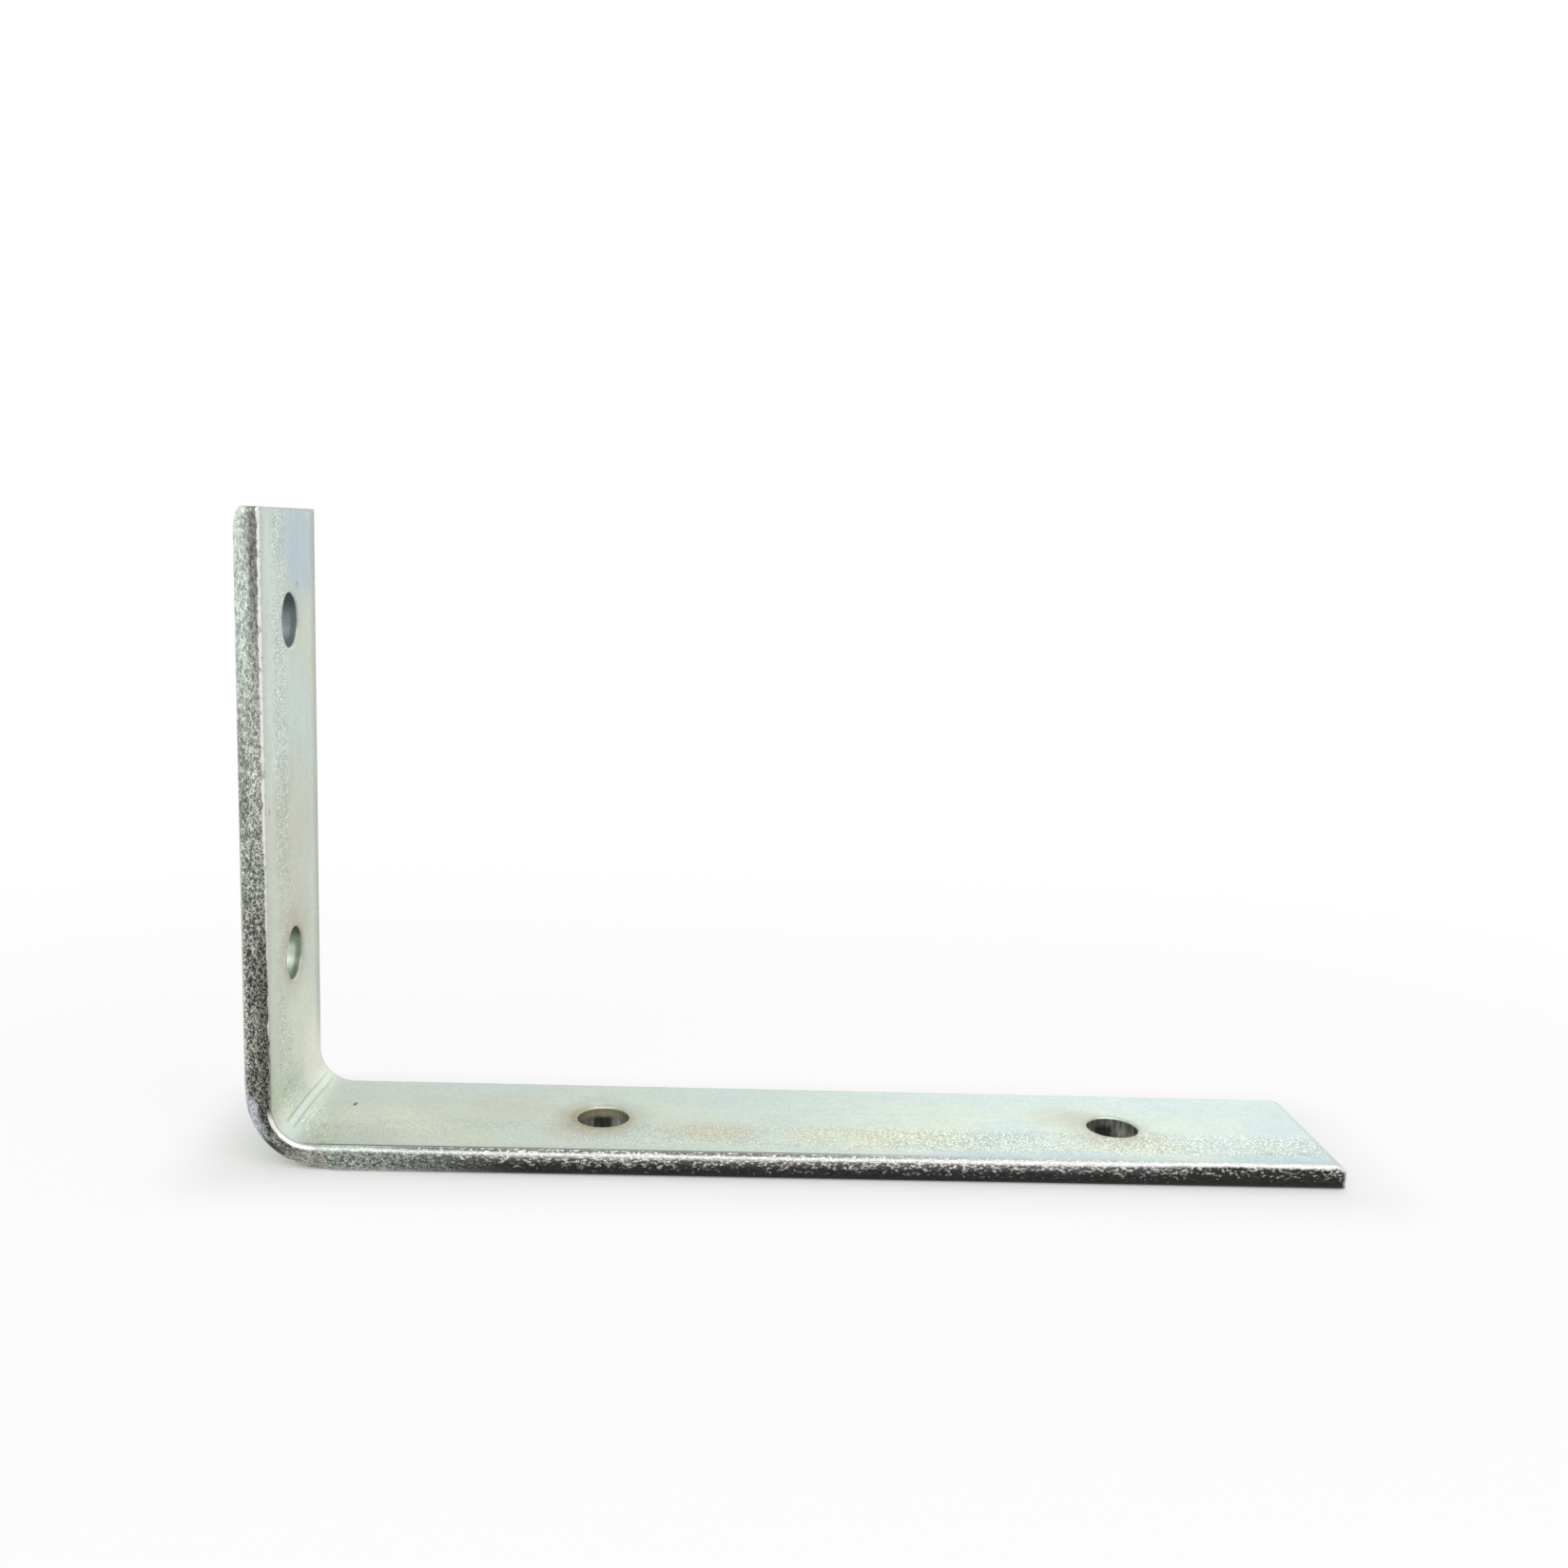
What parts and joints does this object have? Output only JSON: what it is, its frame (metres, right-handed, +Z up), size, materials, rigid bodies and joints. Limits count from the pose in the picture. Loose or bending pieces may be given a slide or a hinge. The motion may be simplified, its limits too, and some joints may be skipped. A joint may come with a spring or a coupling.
{
  "type": "angle bracket",
  "caption": "Unequal-leg angle bracket bent from flat zinc-plated steel bar, with plain punched screw holes on the centre line of each leg.",
  "frame": {"origin": "on the underside of the long leg, at the middle of its length and width", "axes": "+X along the long leg towards its free end, +Y across the bar, +Z up along the short leg"},
  "size_m": [0.12, 0.02, 0.07],
  "materials": {
    "zinc_plated_steel": "thin bright zinc plating with pale green, blue and straw tints, over satin rolled faces and rough bar edges"
  },
  "bodies": {
    "root": {"angle_bracket": "zinc_plated_steel"}
  },
  "joints": []
}
